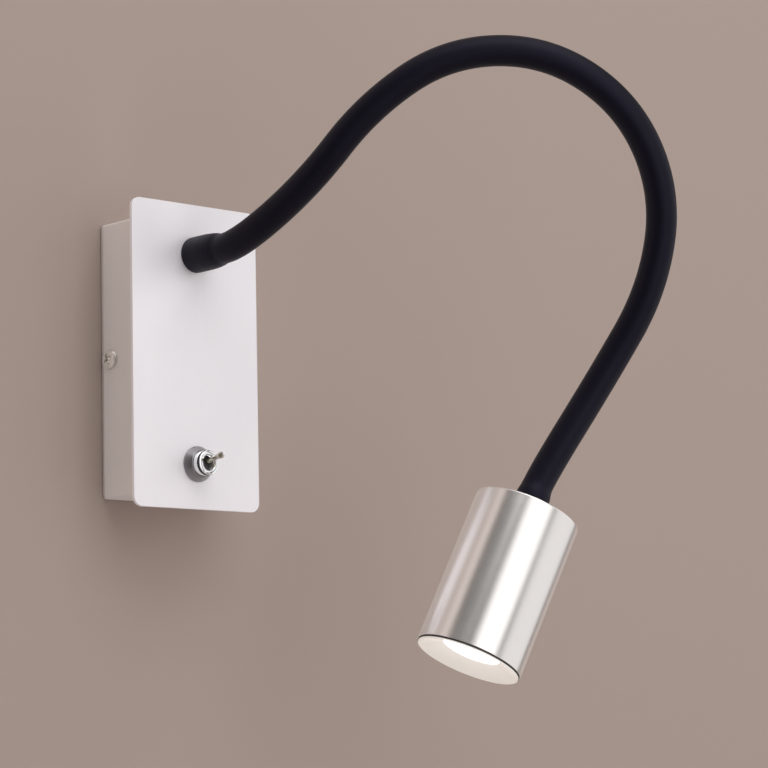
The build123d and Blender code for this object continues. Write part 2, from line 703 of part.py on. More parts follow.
def lead(index):
    """The two-core lead inside the spine, which runs on through both studs."""
    base, tip = (STUD_LENGTH + LEAD_TAIL if length else 0.0 for length in end_lengths(index))
    return arm_tube(index, LEAD_DIAMETER, 0.0, tail_start=base, tail_end=tip)


# ---- Head -------------------------------------------------------------------------------------------


def head_shell():
    outer = HEAD_DIAMETER / 2
    mouth = HEAD_LENGTH - RIM_HEIGHT
    cup = turned(
        (STUD_HOLE / 2, 0),
        (outer, 0),
        (outer, mouth),
        (HEAD_INNER, mouth),
        (HEAD_INNER, HEAD_CAP),
        (STUD_HOLE / 2, HEAD_CAP),
    )
    rim = cup.edges().filter_by(GeomType.CIRCLE).group_by(Axis.Z)[0].sort_by(SortBy.RADIUS)[-1]
    return fillet(rim, HEAD_EDGE)


def reflector():
    """White insert: front rim, spigot in the shell, cone down to the lens."""
    outer = HEAD_DIAMETER / 2 - RIM_INSET
    spigot = HEAD_INNER - SEAT_GAP
    back = HEAD_LENGTH - RIM_HEIGHT - SPIGOT_HEIGHT
    seat = LENS_DIAMETER / 2 + SEAT_GAP
    return turned(
        (outer - RIM_LIP, HEAD_LENGTH),
        (outer, HEAD_LENGTH),
        (outer, HEAD_LENGTH - RIM_HEIGHT),
        (spigot, HEAD_LENGTH - RIM_HEIGHT),
        (spigot, back),
        (seat, back),
        (seat, LENS_FACE),
        (THROAT_DIAMETER / 2, LENS_FACE),
        (THROAT_DIAMETER / 2, LENS_FACE + LENS_LEDGE),
    )


def lens():
    disc = Cylinder(LENS_DIAMETER / 2, LENS_THICKNESS, align=FROM_BASE)
    return Pos(0, 0, LENS_BACK) * disc


def lens_spacer():
    """Keeps the lens against the reflector's ledge, and bears on the heatsink round the board."""
    top = HEAD_LENGTH - RIM_HEIGHT - SPIGOT_HEIGHT
    outer = HEAD_INNER - SEAT_GAP
    nose = LENS_DIAMETER / 2 - SEAT_GAP
    bore = BOARD_DIAMETER / 2 + HOLE_GAP
    return turned(
        (bore, HEATSINK_FACE),
        (outer, HEATSINK_FACE),
        (outer, top),
        (nose, top),
        (nose, LENS_BACK),
        (bore, LENS_BACK),
    )


def core_places():
    """Where the two cores pass the heatsink and the board."""
    for side in (-1, 1):
        yield Pos(0, side * CORE_REACH, 0)


def board_screw_places():
    for side in (-1, 1):
        yield Pos(side * BOARD_SCREW_REACH, 0, 0)


def heatsink():
    outer = HEAD_INNER - SEAT_GAP
    slug = Pos(0, 0, HEATSINK_BACK) * Cylinder(outer, HEATSINK_HEIGHT, align=FROM_BASE)
    pitch = HEATSINK_HEIGHT / (HEATSINK_GROOVES + 1)
    groove = ring(2 * outer, 2 * (outer - 2 * HEATSINK_GROOVE), HEATSINK_GROOVE)
    for count in range(HEATSINK_GROOVES):
        slug -= Pos(0, 0, HEATSINK_BACK + (count + 1) * pitch - HEATSINK_GROOVE / 2) * groove
    passage = Cylinder(CORE_DIAMETER / 2 + WIRE_GAP, HEATSINK_HEIGHT, align=FROM_BASE)
    for place in core_places():
        slug -= place * Pos(0, 0, HEATSINK_BACK) * passage
    tapped = Cylinder(BOARD_SCREW / 2 + THREAD_GAP, BOARD_SCREW_LENGTH, align=FROM_TOP)
    for place in board_screw_places():
        slug -= place * Pos(0, 0, HEATSINK_FACE) * tapped
    return slug


def led_board():
    board = Cylinder(BOARD_DIAMETER / 2, BOARD_THICKNESS, align=FROM_BASE)
    passage = Cylinder(CORE_DIAMETER / 2 + WIRE_GAP, BOARD_THICKNESS, align=FROM_BASE)
    for place in core_places():
        board -= place * passage
    hole = Cylinder(BOARD_SCREW / 2 + HOLE_GAP, BOARD_THICKNESS, align=FROM_BASE)
    for place in board_screw_places():
        board -= place * hole
    return Pos(0, 0, HEATSINK_FACE) * board


def led_chip():
    return Pos(0, 0, BOARD_FACE) * Cylinder(CHIP_DIAMETER / 2, CHIP_HEIGHT, align=FROM_BASE)


def board_screws():
    length = BOARD_SCREW_LENGTH + BOARD_THICKNESS
    screw = pan_screw(BOARD_SCREW, BOARD_SCREW_HEAD, BOARD_SCREW_HEAD_HEIGHT, length - SCREW_END_GAP)
    return [place * Pos(0, 0, BOARD_FACE) * screw for place in board_screw_places()]


def head_cores():
    """The lead's two cores, from its end in the head, spreading to the heatsink's passages."""
    start = STUD_LENGTH + LEAD_TAIL
    third = (HEATSINK_BACK - start) / 3
    return [
        wire(
            CORE_DIAMETER,
            (0, side * CORE_SPREAD, start),
            (0, side * CORE_SPREAD, start + third),
            (0, side * CORE_REACH, HEATSINK_BACK - third),
            (0, side * CORE_REACH, BOARD_FACE),
            straight_end=BOARD_FACE - HEATSINK_BACK,
        )
        for side in (-1, 1)
    ]


# ---- The lamp ---------------------------------------------------------------------------------------


def in_wall_unit():
    """Every piece that is drawn in (across, up, out of the wall)."""
    block_width = 2 * BLOCK_PITCH + BLOCK_BARREL
    clamp = Pos(0, ARM_UP, PANEL_INSIDE - WASHER_THICKNESS)
    return {
        "wall_bracket": wall_bracket(),
        "entry_bushing": entry_bushing(),
        "earth_lug": earth_lug(),
        "earth_screw": earth_screw(),
        "box_shell": box_shell(),
        "front_plate": front_plate(),
        "side_screws": side_screws(),
        "switch_body": switch_body(),
        "switch_blades": switch_blades(),
        "switch_neck": switch_neck(),
        "switch_lock_washer": lock_washer(),
        "switch_dress_nut": dress_nut(),
        "switch_lever": switch_lever(),
        "led_driver": led_driver(),
        "driver_pad": foam_pad(DRIVER_WIDTH - PAD_MARGIN, DRIVER_LENGTH - PAD_MARGIN, DRIVER_UP),
        "terminal_block": terminal_block(),
        "terminal_inserts": terminal_inserts(),
        "terminal_screws": terminal_screws(),
        "terminal_pad": foam_pad(block_width - PAD_MARGIN, BLOCK_LENGTH - PAD_MARGIN, BLOCK_UP),
        "line_wire": line_wire(),
        "switched_wire": switched_wire(),
        "neutral_wire": neutral_wire(),
        "earth_wire": earth_wire(),
        "output_wires": output_wires(),
        "arm_base_washer": clamp * ring(WASHER_DIAMETER, STUD_HOLE, WASHER_THICKNESS),
        "arm_base_nut": clamp * Pos(0, 0, -NUT_HEIGHT) * hex_nut(),
    }


def in_head():
    """Every piece that is drawn in the head's frame."""
    return {
        "head_shell": head_shell(),
        "head_washer": Pos(0, 0, HEAD_CAP) * ring(WASHER_DIAMETER, STUD_HOLE, WASHER_THICKNESS),
        "head_nut": Pos(0, 0, HEAD_CAP + WASHER_THICKNESS) * hex_nut(),
        "heatsink": heatsink(),
        "led_board": led_board(),
        "led_chip": led_chip(),
        "board_screws": board_screws(),
        "head_cores": head_cores(),
        "lens_spacer": lens_spacer(),
        "lens": lens(),
        "reflector": reflector(),
    }


def arm():
    """The ferrules and, for each stretch, its sleeve, spine and lead."""
    last = len(FLEX_RUNS)
    pieces = {
        "base_ferrule": arm_end(0) * ferrule(barrel_length(BASE_COLLAR)),
        "tip_ferrule": arm_end(last) * ferrule(barrel_length(TIP_COLLAR)),
    }
    for index, name in enumerate(STRETCHES):
        pieces["sleeve_" + name] = sleeve(index)
        pieces["spine_" + name] = spine(index)
        pieces["lead_" + name] = lead(index)
    return pieces


def placed(frame, piece):
    """A piece, or a group of separate solids, moved from a local frame into the lamp."""
    if isinstance(piece, list):
        return Compound(children=[frame.location * solid for solid in piece])
    return frame.location * piece


def main():
    lamp = {name: placed(WALL_UNIT, piece) for name, piece in in_wall_unit().items()}
    lamp |= {name: placed(HEAD, piece) for name, piece in in_head().items()}
    lamp |= arm()
    os.makedirs("parts", exist_ok=True)
    for name, piece in lamp.items():
        export_step(piece, f"parts/{name}.step")
    print("arm bends, mm:", [round(radius, 1) for radius in ROUTE_RADII])


main()
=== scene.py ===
"""A bedside wall reading lamp, dressed: satin nickel, black sleeving, a chromed switch and a lit spot head.

It is laid out as an add-on: each operator makes one piece, or a group of like pieces, round the fixed
frame of the lamp's construction, and main() runs them in order. Lengths are in metres. The wall is the
plane Y = 0 and the lamp stands out of it along -Y.
"""
import math

import bpy
from bpy.props import FloatProperty, FloatVectorProperty, PointerProperty
from mathutils import Matrix, Vector


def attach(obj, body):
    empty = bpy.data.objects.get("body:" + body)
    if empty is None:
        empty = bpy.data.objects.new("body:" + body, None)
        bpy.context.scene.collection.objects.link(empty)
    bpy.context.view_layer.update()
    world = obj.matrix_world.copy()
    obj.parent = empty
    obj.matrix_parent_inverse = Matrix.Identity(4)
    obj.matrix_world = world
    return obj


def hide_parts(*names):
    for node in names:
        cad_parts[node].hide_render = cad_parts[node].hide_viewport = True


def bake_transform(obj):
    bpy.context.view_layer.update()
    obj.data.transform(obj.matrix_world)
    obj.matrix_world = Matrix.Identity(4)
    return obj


bl_info = {
    "name": "Wall reading lamp",
    "version": (1, 0, 0),
    "blender": (4, 5, 0),
    "location": "View3D > Sidebar > Reading lamp",
    "description": "Dresses the construction of a bedside wall reading lamp",
    "category": "Object",
}

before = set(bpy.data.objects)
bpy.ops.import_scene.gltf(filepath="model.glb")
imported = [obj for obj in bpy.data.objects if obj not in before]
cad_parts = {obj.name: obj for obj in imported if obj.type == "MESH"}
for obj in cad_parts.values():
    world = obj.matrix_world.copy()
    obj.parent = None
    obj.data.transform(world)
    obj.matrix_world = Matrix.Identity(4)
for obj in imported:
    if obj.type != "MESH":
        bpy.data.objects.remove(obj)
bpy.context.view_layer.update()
MM = 0.001

# The arm's middle line: the construction's points, a few of them moved a little, from the plate's face to the head's
# top face. STRAIGHT_OUT and STRAIGHT_IN add one more on each end run, inside the collars.
ARM_ROOT = Vector((0, -28.0, 40.75)) * MM
ARM_ROUTE = [
    Vector(point) * MM + ARM_ROOT
    for point in (
        (0, 0, 0),
        (0, -27, 0),
        (7.5, -59.5, 19.4),
        (17.5, -83, 46.6),
        (37, -107.5, 66),
        (66.5, -130.5, 66.5),
        (94.5, -145.5, 46.5),
        (112, -147.5, 14),
        (114, -137, -21.3),
        (104.7, -119, -52.8),
        (85.2, -102.7, -91.8),
        (78.85, -101, -105.3),
    )
]
STRAIGHT_OUT = 0.008
STRAIGHT_IN = 0.004
FLEX_RUNS = (1, 3, 5, 7, 9)
STRETCHES = ("base", "rise", "crown", "fall", "drop", "tip")

# The camera of the photograph: where it stood, where it looked and how it was tilted, from a fit to the
# plate's corners, the box, the arm and the head.
CAMERA_PLACE = Vector((-674.06, -865.36, -157.17)) * MM
CAMERA_AZIMUTH = math.radians(42.73)
CAMERA_ELEVATION = math.radians(7.72)
CAMERA_ROLL = math.radians(-1.20)
CAMERA_LENS = 130.12
CAMERA_SENSOR = 36.0


# Meshes: how near two points are merged, the radius that stands for a pole, and the sides of a turned piece.
MERGE = 0.000002
POLE = 0.0000004
FINE_SIDES = 160
MEDIUM_SIDES = 96
SMALL_SIDES = 48

# Wall unit: the plate's two holes, its edges and the box's rim.
HOLE_RADIUS = 0.0051
PLATE_EDGE = 0.00012
RIM_EDGE = 0.0002

# Side screws: axis above the wall, shank and the turn of the recess.
SCREW_OUT = 0.0055
SCREW_SHANK = 0.007
SCREW_TURN = math.radians(25)

# Switch: neck in front of the plate, pivot below its mouth, ball, tip of the lever above the pivot, and where the
# nut's nicks and the tip's notch are turned to.
NECK_PROUD = 0.0074
LEVER_PIVOT_DEPTH = 0.0044
BALL_RADIUS = 0.0025
LEVER_TIP = 0.0122
NUT_NICK = math.radians(113)
TIP_TURN = math.radians(23)

# Arm: the sides of the sleeve, and how much of a collar's widening is left, from 1 to 0, at each distance from the
# sleeve's end.
ROUND_SIDES = 48
BASE_STRETCH = ((0, 0.93), (0.0006, 1), (0.009, 0.98), (0.0125, 0.80), (0.0150, 0.52), (0.0166, 0.16), (0.0180, 0))
TIP_STRETCH = ((0, 1), (0.0055, 1), (0.0072, 0.85), (0.0092, 0.30), (0.0110, 0.05), (0.0125, 0))

# Head: hole for the arm, shell's wall and floor, joint above the mouth, insert's rim inside the shell's outside,
# throat and its depth, and the bore that holds the lens.
ARM_HOLE = 0.0051
SHELL_WALL = 0.0015
SHELL_FLOOR = 0.003
JOINT_DEPTH = 0.0011
RIM_INSET = 0.0005
THROAT_RADIUS = 0.01125
THROAT_DEPTH = 0.0042
LENS_BORE = 0.01255

# Ways that brushed lines run in a piece's own frame.
LENGTHWISE = (1.0, 1.0, 0.02)
ROUND = (0.02, 0.02, 1.0)

# Stage: soft lamps as name, degrees above and right of the camera as seen from the lamp, size and power; and
# glows along the wall as name, place across, distance from the wall, width and power.
STAGE_MIDDLE = Vector((0.03, -0.09, 0.0))
LAMP_DISTANCE = 1.5
SOFTBOXES = (
    ("key_softbox", 20, 35, (1.25, 3.2), 17),
    ("fill_softbox", 0, 97, (1.8, 2.0), 9),
    ("top_softbox", 66, 30, (2.0, 1.4), 11),
)
WALL_GLOWS = (
    ("wall_glow", 0.15, 0.0002, 1.7, 0.96),
    ("left_glow", -0.46, 0.0006, 0.58, 0.46),
)
GLOW_HEIGHT = 1.0
GLOW_MIDDLE = 0.1
WORLD_RGB = (1.0, 0.98, 0.96)
WORLD_STRENGTH = 0.15
STAGE_SIZE = 6
WALL_GAP = 0.0003


def wall_unit_frame():
    """Across, up and out of the wall, as the construction draws the wall unit."""
    return Matrix(((1, 0, 0), (0, 0, -1), (0, 1, 0))).to_4x4()


def head_frame():
    """The head's own frame: Z runs from its top face to its mouth."""
    axis = (ARM_ROUTE[-1] - ARM_ROUTE[-2]).normalized()
    across = axis.cross(Vector((0, 1, 0))).normalized()
    return Matrix.Translation(ARM_ROUTE[-1]) @ Matrix((across, axis.cross(across), axis)).transposed().to_4x4()


WALL_UNIT = wall_unit_frame()
HEAD = head_frame()


# ---- Sizes and colours that a user would change -------------------------------------------------------


def length(name, description, default):
    return FloatProperty(name=name, description=description, default=default, unit="LENGTH", precision=5)


def colour(name, description, default):
    return FloatVectorProperty(
        name=name, description=description, default=default, subtype="COLOR", size=3, min=0, max=1
    )


class LampSizes(bpy.types.PropertyGroup):
    plate_width: length("Plate width", "Front plate, across", 0.062)
    plate_height: length("Plate height", "Front plate, upright", 0.120)
    plate_thickness: length("Plate thickness", "Sheet of the front plate", 0.0015)
    plate_corner: length("Plate corner", "Radius of the plate's corners", 0.004)
    plate_rise: length("Plate rise", "Plate's middle above the box's middle", 0.00075)
    box_width: length("Box width", "Wall box, across", 0.050)
    box_height: length("Box height", "Wall box, upright", 0.1085)
    box_depth: length("Box depth", "Wall to the back of the plate", 0.0265)
    box_wall: length("Box wall", "Sheet of the wall box", 0.001)
    box_edge: length("Box edge", "Radius of the box's folded edges", 0.0015)
    sleeve_diameter: length("Arm diameter", "Outside of the arm's sleeve", 0.0118)
    sleeve_wall: length("Sleeve wall", "Thickness of the arm's sleeve", 0.0013)
    base_collar: length("Collar at the plate", "Sleeve where it is stretched over its ferrule", 0.0142)
    tip_collar: length("Collar at the head", "Sleeve where it is stretched over its ferrule", 0.0133)
    head_diameter: length("Head diameter", "Outside of the spot head", 0.041)
    head_length: length("Head length", "Top face to mouth", 0.063)
    switch_up: length("Switch height", "Switch's axis above the box's middle", -0.0417)
    lever_tilt: FloatProperty(
        name="Lever tilt", description="Lever above the switch's axis", default=math.radians(11), subtype="ANGLE"
    )


class LampColours(bpy.types.PropertyGroup):
    plate: colour("Plate", "Satin nickel of the front plate", (0.94, 0.90, 0.93))
    box: colour("Box", "Satin nickel of the wall box", (0.85, 0.81, 0.79))
    head: colour("Head", "Satin nickel of the head", (0.82, 0.785, 0.765))
    sleeve: colour("Sleeve", "Black sleeving of the arm", (0.0035, 0.003, 0.0075))
    reflector: colour("Reflector", "White insert of the head", (0.93, 0.895, 0.96))
    light: colour("Light", "Glow of the lens", (1.0, 0.985, 1.0))
    backdrop: colour("Backdrop", "Wall behind the lamp", (0.41, 0.325, 0.285))
    floor: colour("Floor", "Floor far below the lamp", (0.62, 0.585, 0.58))


# ---- Modelling helpers --------------------------------------------------------------------------------


def clear_selection():
    if bpy.context.object and bpy.context.object.mode != "OBJECT":
        bpy.ops.object.mode_set(mode="OBJECT")
    bpy.ops.object.select_all(action="DESELECT")


def name_new(name):
    piece = bpy.context.object
    piece.name = name
    piece.data.name = name
    return piece


def bake_place(piece, place=None):
    """Puts a piece's place into its mesh, so that its object sits at the origin."""
    if place is not None:
        piece.matrix_world = place @ piece.matrix_world
    clear_selection()
    piece.select_set(True)
    bpy.context.view_layer.objects.active = piece
    bpy.ops.object.transform_apply(location=True, rotation=True, scale=True)
    return piece


def select_edges(piece, wanted):
    """Enters edit mode with nothing selected but the edges whose two ends are wanted."""
    bpy.ops.object.mode_set(mode="EDIT")
    bpy.ops.mesh.select_mode(type="EDGE")
    bpy.ops.mesh.select_all(action="DESELECT")
    bpy.ops.object.mode_set(mode="OBJECT")
    for edge in piece.data.edges:
        edge.select = wanted(*[piece.data.vertices[index].co for index in edge.vertices])
    bpy.ops.object.mode_set(mode="EDIT")


def modify(piece, kind, **settings):
    """Adds a modifier, sets it and applies it."""
    clear_selection()
    piece.select_set(True)
    bpy.context.view_layer.objects.active = piece
    modifier = piece.modifiers.new(kind.title(), kind)
    for key, value in settings.items():
        setattr(modifier, key, value)
    bpy.ops.object.modifier_apply(modifier=modifier.name)
    return piece


def round_edges(piece, width, segments=3, angle=30):
    return modify(
        piece,
        "BEVEL",
        width=width,
        segments=segments,
        limit_method="ANGLE",
        angle_limit=math.radians(angle),
        use_clamp_overlap=True,
    )


def shade(piece, angle=35):
    clear_selection()
    piece.select_set(True)
    bpy.context.view_layer.objects.active = piece
    bpy.ops.object.shade_smooth_by_angle(angle=math.radians(angle))
    return modify(piece, "WEIGHTED_NORMAL", weight=100, keep_sharp=True)


def tidy_mesh(piece):
    """Merges doubles and turns all faces outwards."""
    clear_selection()
    piece.select_set(True)
    bpy.context.view_layer.objects.active = piece
    bpy.ops.object.mode_set(mode="EDIT")
    bpy.ops.mesh.select_all(action="SELECT")
    bpy.ops.mesh.remove_doubles(threshold=MERGE)
    bpy.ops.mesh.normals_make_consistent(inside=False)
    bpy.ops.object.mode_set(mode="OBJECT")
    return piece


def turned(name, profile, place, segments, edge=0.0, edge_segments=3):
    """Turns a piece as a lathe does: a ring is extruded from corner to corner of (radius, height).

    A profile that starts and ends on the axis gives a solid; one that returns to its first corner gives
    a hollow piece.
    """
    clear_selection()
    rings = [(max(radius, POLE), height) for radius, height in profile]
    bpy.ops.mesh.primitive_circle_add(vertices=segments, radius=rings[0][0])
    piece = name_new(name)
    bpy.ops.object.mode_set(mode="EDIT")
    bpy.ops.mesh.select_all(action="SELECT")
    bpy.ops.transform.translate(value=(0, 0, rings[0][1]))
    for (before, low), (after, high) in zip(rings, rings[1:]):
        bpy.ops.mesh.extrude_edges_move(TRANSFORM_OT_translate={"value": (0, 0, high - low)})
        bpy.ops.transform.resize(value=(after / before, after / before, 1), center_override=(0, 0, high))
    tidy_mesh(piece)
    if edge:
        round_edges(piece, edge, edge_segments)
    bake_place(piece, place)
    return shade(piece)


def block(name, size, place, corner=0.0, corner_segments=6, axis=1):
    """A box of a given size about a point, whose edges along one axis are rounded."""
    clear_selection()
    bpy.ops.mesh.primitive_cube_add(size=1)
    piece = name_new(name)
    piece.scale = size
    bake_place(piece)
    if corner:
        select_edges(piece, lambda one, other: abs((other - one).normalized()[axis]) > 0.9)
        bpy.ops.mesh.bevel(offset=corner, segments=corner_segments, affect="EDGES")
        bpy.ops.object.mode_set(mode="OBJECT")
    return bake_place(piece, place)


def cut(piece, *tools):
    """Cuts other meshes out of a piece and removes them."""
    for tool in tools:
        modify(piece, "BOOLEAN", object=tool, operation="DIFFERENCE", solver="EXACT")
        bpy.data.objects.remove(tool)
    return piece


def finish(piece, body, material, slot, *nodes):
    """Gives a finished piece its material and its body, and hides the nodes that it stands for."""
    piece.data.materials.clear()
    piece.data.materials.append(material)
    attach(piece, body)
    if nodes:
        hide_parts(*nodes)
    return piece


# ---- Material helpers ---------------------------------------------------------------------------------


def socket(group, name, kind, direction, default=None):
    made = group.interface.new_socket(name=name, in_out=direction, socket_type=kind)
    if default is not None:
        made.default_value = default
    return made


def add(tree, kind, **settings):
    node = tree.nodes.new(kind)
    for key, value in settings.items():
        setattr(node, key, value)
    return node


def noise(tree, vector, scale, detail=2.0, roughness=0.5):
    node = add(tree, "ShaderNodeTexNoise")
    node.inputs["Scale"].default_value = scale
    node.inputs["Detail"].default_value = detail
    node.inputs["Roughness"].default_value = roughness
    tree.links.new(vector, node.inputs["Vector"])
    return node.outputs["Fac"]


def spread(tree, value, low, high):
    """Maps a 0 to 1 value onto low to high."""
    node = add(tree, "ShaderNodeMapRange")
    tree.links.new(value, node.inputs["Value"])
    node.inputs["From Min"].default_value = 0.25
    node.inputs["From Max"].default_value = 0.75
    for key, limit in (("To Min", low), ("To Max", high)):
        if isinstance(limit, (int, float)):
            node.inputs[key].default_value = limit
        else:
            tree.links.new(limit, node.inputs[key])
    return node.outputs["Result"]


def tint(tree, colour_socket, factor):
    """A colour multiplied by a grey value."""
    node = add(tree, "ShaderNodeVectorMath", operation="SCALE")
    tree.links.new(colour_socket, node.inputs[0])
    tree.links.new(factor, node.inputs["Scale"])
    return node.outputs["Vector"]


def group_tree(name, inputs, outputs):
    """An empty node group with named inputs and outputs, and its end nodes."""
    if name in bpy.data.node_groups:
        return bpy.data.node_groups[name], None, None
    tree = bpy.data.node_groups.new(name, "ShaderNodeTree")
    for key, (kind, default) in inputs.items():
        socket(tree, key, kind, "INPUT", default)
    for key, kind in outputs.items():
        socket(tree, key, kind, "OUTPUT")
    return tree, tree.nodes.new("NodeGroupInput"), tree.nodes.new("NodeGroupOutput")


FLOAT = "NodeSocketFloat"
COLOR = "NodeSocketColor"
VECTOR = "NodeSocketVector"


def satin_group():
    """Satin plating: a fine grain, faint brushed lines and slow clouds of sheen."""
    inputs = {
        "Vector": (VECTOR, None),
        "Stretch": (VECTOR, (1.0, 1.0, 0.02)),
        "Color": (COLOR, (0.8, 0.8, 0.8, 1)),
        "Roughness": (FLOAT, 0.3),
        "Grain": (FLOAT, 1.0),
        "Streak": (FLOAT, 1.0),
    }
    tree, entry, leave = group_tree("satin_plating", inputs, {"Color": COLOR, "Roughness": FLOAT, "Height": FLOAT})
    if entry is None:
        return tree
    vector = entry.outputs["Vector"]
    squeeze = add(tree, "ShaderNodeVectorMath", operation="MULTIPLY")
    tree.links.new(entry.outputs["Stretch"], squeeze.inputs[1])
    tree.links.new(vector, squeeze.inputs[0])
    streaks = noise(tree, squeeze.outputs["Vector"], 1500, 3, 0.6)
    grain = noise(tree, vector, 2600, 2, 0.5)
    clouds = noise(tree, vector, 28, 3, 0.5)
    low = spread(tree, clouds, 0.985, 1.012)
    fine = spread(tree, streaks, 0.99, 1.01)
    shade_of = add(tree, "ShaderNodeMath", operation="MULTIPLY")
    tree.links.new(low, shade_of.inputs[0])
    tree.links.new(fine, shade_of.inputs[1])
    tree.links.new(tint(tree, entry.outputs["Color"], shade_of.outputs["Value"]), leave.inputs["Color"])
    sheen = add(tree, "ShaderNodeMath", operation="MULTIPLY")
    tree.links.new(entry.outputs["Roughness"], sheen.inputs[0])
    tree.links.new(spread(tree, clouds, 0.94, 1.08), sheen.inputs[1])
    tree.links.new(sheen.outputs["Value"], leave.inputs["Roughness"])
    lines = add(tree, "ShaderNodeMath", operation="MULTIPLY")
    tree.links.new(streaks, lines.inputs[0])
    tree.links.new(entry.outputs["Streak"], lines.inputs[1])
    bumps = add(tree, "ShaderNodeMath", operation="MULTIPLY_ADD")
    tree.links.new(grain, bumps.inputs[0])
    tree.links.new(entry.outputs["Grain"], bumps.inputs[1])
    tree.links.new(lines.outputs["Value"], bumps.inputs[2])
    tree.links.new(bumps.outputs["Value"], leave.inputs["Height"])
    return tree


def mottle_group():
    """Moulded and coated surfaces: a slow change of tone, a fine tooth and dull patches."""
    inputs = {
        "Vector": (VECTOR, None),
        "Color": (COLOR, (0.5, 0.5, 0.5, 1)),
        "Roughness": (FLOAT, 0.5),
        "Tone": (FLOAT, 0.06),
        "Scale": (FLOAT, 900.0),
    }
    tree, entry, leave = group_tree("mottle", inputs, {"Color": COLOR, "Roughness": FLOAT, "Height": FLOAT})
    if entry is None:
        return tree
    vector = entry.outputs["Vector"]
    patches = noise(tree, vector, 60, 3, 0.55)
    tooth = noise(tree, vector, 900, 3, 0.6)
    tree.links.new(entry.outputs["Scale"], tooth.node.inputs["Scale"])
    dark = add(tree, "ShaderNodeMath", operation="SUBTRACT")
    dark.inputs[0].default_value = 1.0
    tree.links.new(entry.outputs["Tone"], dark.inputs[1])
    pale = add(tree, "ShaderNodeMath", operation="ADD")
    pale.inputs[0].default_value = 1.0
    tree.links.new(entry.outputs["Tone"], pale.inputs[1])
    tone = spread(tree, patches, dark.outputs["Value"], pale.outputs["Value"])
    tree.links.new(tint(tree, entry.outputs["Color"], tone), leave.inputs["Color"])
    sheen = add(tree, "ShaderNodeMath", operation="MULTIPLY")
    tree.links.new(entry.outputs["Roughness"], sheen.inputs[0])
    tree.links.new(spread(tree, tooth, 0.92, 1.08), sheen.inputs[1])
    tree.links.new(sheen.outputs["Value"], leave.inputs["Roughness"])
    tree.links.new(tooth, leave.inputs["Height"])
    return tree


def new_material(name):
    """A material with nothing but a Principled shader, its output and an object coordinate."""
    material = bpy.data.materials.new(name)
    material.use_nodes = True
    tree = material.node_tree
    tree.nodes.clear()
    out = add(tree, "ShaderNodeOutputMaterial")
    shader = add(tree, "ShaderNodeBsdfPrincipled")
    tree.links.new(shader.outputs["BSDF"], out.inputs["Surface"])
    coordinate = add(tree, "ShaderNodeTexCoord")
    return material, tree, shader, coordinate.outputs["Object"]


def turn_pattern(tree, vector, place):
    """Turns a pattern into a piece's own frame, so that its Z lies along the piece."""
    node = add(tree, "ShaderNodeMapping", vector_type="TEXTURE")
    node.inputs["Location"].default_value = place.to_translation()
    node.inputs["Rotation"].default_value = place.to_euler()
    tree.links.new(vector, node.inputs["Vector"])
    return node.outputs["Vector"]


def use_group(tree, group, vector, values):
    node = add(tree, "ShaderNodeGroup", node_tree=group)
    tree.links.new(vector, node.inputs["Vector"])
    for key, value in values.items():
        node.inputs[key].default_value = value
    return node


def bump(tree, height, shader, distance, strength=1.0):
    node = add(tree, "ShaderNodeBump")
    node.inputs["Distance"].default_value = distance
    node.inputs["Strength"].default_value = strength
    tree.links.new(height, node.inputs["Height"])
    tree.links.new(node.outputs["Normal"], shader.inputs["Normal"])
    return node


def satin_metal(
    name, rgb, roughness, place=None, way=LENGTHWISE, grain=1.0, streak=1.0, depth=0.000002, metallic=1.0
):
    if name in bpy.data.materials:
        return bpy.data.materials[name]
    material, tree, shader, vector = new_material(name)
    shader.inputs["Metallic"].default_value = metallic
    if place is not None:
        vector = turn_pattern(tree, vector, place)
    values = {"Stretch": way, "Color": (*rgb, 1), "Roughness": roughness, "Grain": grain, "Streak": streak}
    node = use_group(tree, satin_group(), vector, values)
    tree.links.new(node.outputs["Color"], shader.inputs["Base Color"])
    tree.links.new(node.outputs["Roughness"], shader.inputs["Roughness"])
    bump(tree, node.outputs["Height"], shader, depth)
    return material


def moulded(
    name, rgb, roughness, tone=0.06, scale=900.0, depth=0.00001, specular=0.5, specular_rgb=(1, 1, 1), glow=0.0
):
    if name in bpy.data.materials:
        return bpy.data.materials[name]
    material, tree, shader, vector = new_material(name)
    shader.inputs["Specular IOR Level"].default_value = specular
    shader.inputs["Specular Tint"].default_value = (*specular_rgb, 1)
    if glow:
        shader.inputs["Emission Color"].default_value = (*colours().light, 1)
        shader.inputs["Emission Strength"].default_value = glow
    values = {"Color": (*rgb, 1), "Roughness": roughness, "Tone": tone, "Scale": scale}
    node = use_group(tree, mottle_group(), vector, values)
    tree.links.new(node.outputs["Color"], shader.inputs["Base Color"])
    tree.links.new(node.outputs["Roughness"], shader.inputs["Roughness"])
    bump(tree, node.outputs["Height"], shader, depth)
    return material


# ---- The lamp's finishes ------------------------------------------------------------------------------


def colours():
    return bpy.context.scene.lamp_colours


def sizes():
    return bpy.context.scene.lamp_sizes


def plate_nickel():
    return satin_metal("plate_nickel", colours().plate, 0.5, grain=0.5, streak=0.25, metallic=0.45)


def box_nickel():
    return satin_metal("box_nickel", colours().box, 0.42, grain=0.5, streak=0.25, metallic=0.7)


def head_nickel():
    return satin_metal("head_nickel", colours().head, 0.26, HEAD, ROUND, grain=0.3, streak=0.3, metallic=0.94)


def bright_chrome():
    return satin_metal("bright_chrome", (0.88, 0.88, 0.89), 0.07, WALL_UNIT, ROUND, grain=0.1, streak=0.1)


def nut_steel():
    return satin_metal("nut_steel", (0.33, 0.32, 0.33), 0.32, WALL_UNIT, ROUND, grain=0.6, streak=1.0)


# Near-black for the thread band on the neck: painted shade and dark reflections of the fine thread.
def thread_painted_shade():
    return satin_metal("thread_painted_shade", (0.10, 0.10, 0.11), 0.18, WALL_UNIT, ROUND, grain=0.3, streak=0.5)
